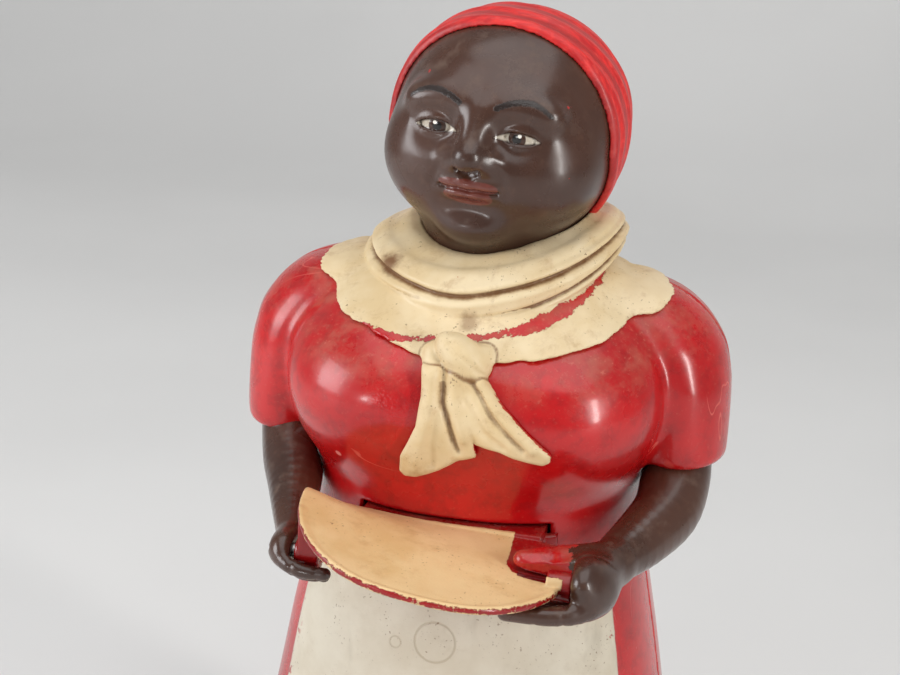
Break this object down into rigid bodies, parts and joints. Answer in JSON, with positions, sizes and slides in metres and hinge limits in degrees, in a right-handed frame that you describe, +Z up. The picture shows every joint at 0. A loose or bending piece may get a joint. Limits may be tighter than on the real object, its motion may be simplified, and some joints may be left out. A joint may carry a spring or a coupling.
{
  "type": "mechanical coin bank",
  "caption": "Standing aproned figure holding a tipping coin tray; a bow-shaped thumb pad at the back works a lever that drops the coin through a waist slot.",
  "frame": {"origin": "centre of the base's underside, on the surface the figure stands on", "axes": "+X to the figure's left, -Y the way the figure faces, +Z up"},
  "size_m": [0.078, 0.0884, 0.1652],
  "materials": {
    "red_plastic": "glossy red moulded plastic with a cream apron sprayed on the skirt",
    "skin_paint": "deep brown satin enamel on plastic",
    "scarf_paint": "red moulded plastic, lightly streaked",
    "cream_paint": "cream enamel, brown grime in the folds, chipped to red",
    "tray_paint": "tan-cream enamel worn through to red plastic at one corner",
    "steel": "plated steel",
    "spring_steel": "oiled spring wire",
    "inner_plastic": "unpainted moulded plastic",
    "rubber": "matt black rubber"
  },
  "bodies": {
    "figure": {"front_shell": "red_plastic", "rear_shell": "red_plastic", "head_front": "skin_paint", "head_scarf": "scarf_paint", "neck_plug": "red_plastic", "kerchief": "cream_paint", "forearm_left": "skin_paint", "forearm_right": "skin_paint", "tray_pins": "steel", "lever_axle": "steel", "axle_clips": "steel", "lever_bracket": "steel", "bracket_screws": "steel", "return_spring": "spring_steel", "coin_chute": "inner_plastic", "chute_screws": "steel", "base_plate": "red_plastic", "base_screws": "steel", "shell_screws": "steel"},
    "tray": {"tray": "tray_paint", "drive_pins": "steel"},
    "lever": {"lever": "steel", "thumb_pad": "cream_paint", "pad_rivet": "steel"},
    "trap": {"trap_plug": "rubber"}
  },
  "joints": [
    {"name": "lever_press", "type": "hinge", "parent": "figure", "child": "lever", "pos_m": [0, 0.011, 0.077], "axis": [1, 0, 0], "range_deg": [0, 16.6], "stiffness_Nm_per_rad": 0.012, "springref_deg": -20.05},
    {"name": "tray_tip", "type": "hinge", "parent": "figure", "child": "tray", "pos_m": [0, -0.036, 0.087], "axis": [-1, 0, 0], "range_deg": [0, 22.5]},
    {"name": "trap_pull", "type": "slide", "parent": "figure", "child": "trap", "axis": [0, 0, -1], "range_m": [0, 0.015]}
  ],
  "couplings": [
    {"joint": "tray_tip", "follows": "lever_press", "ratio": 1.348}
  ]
}
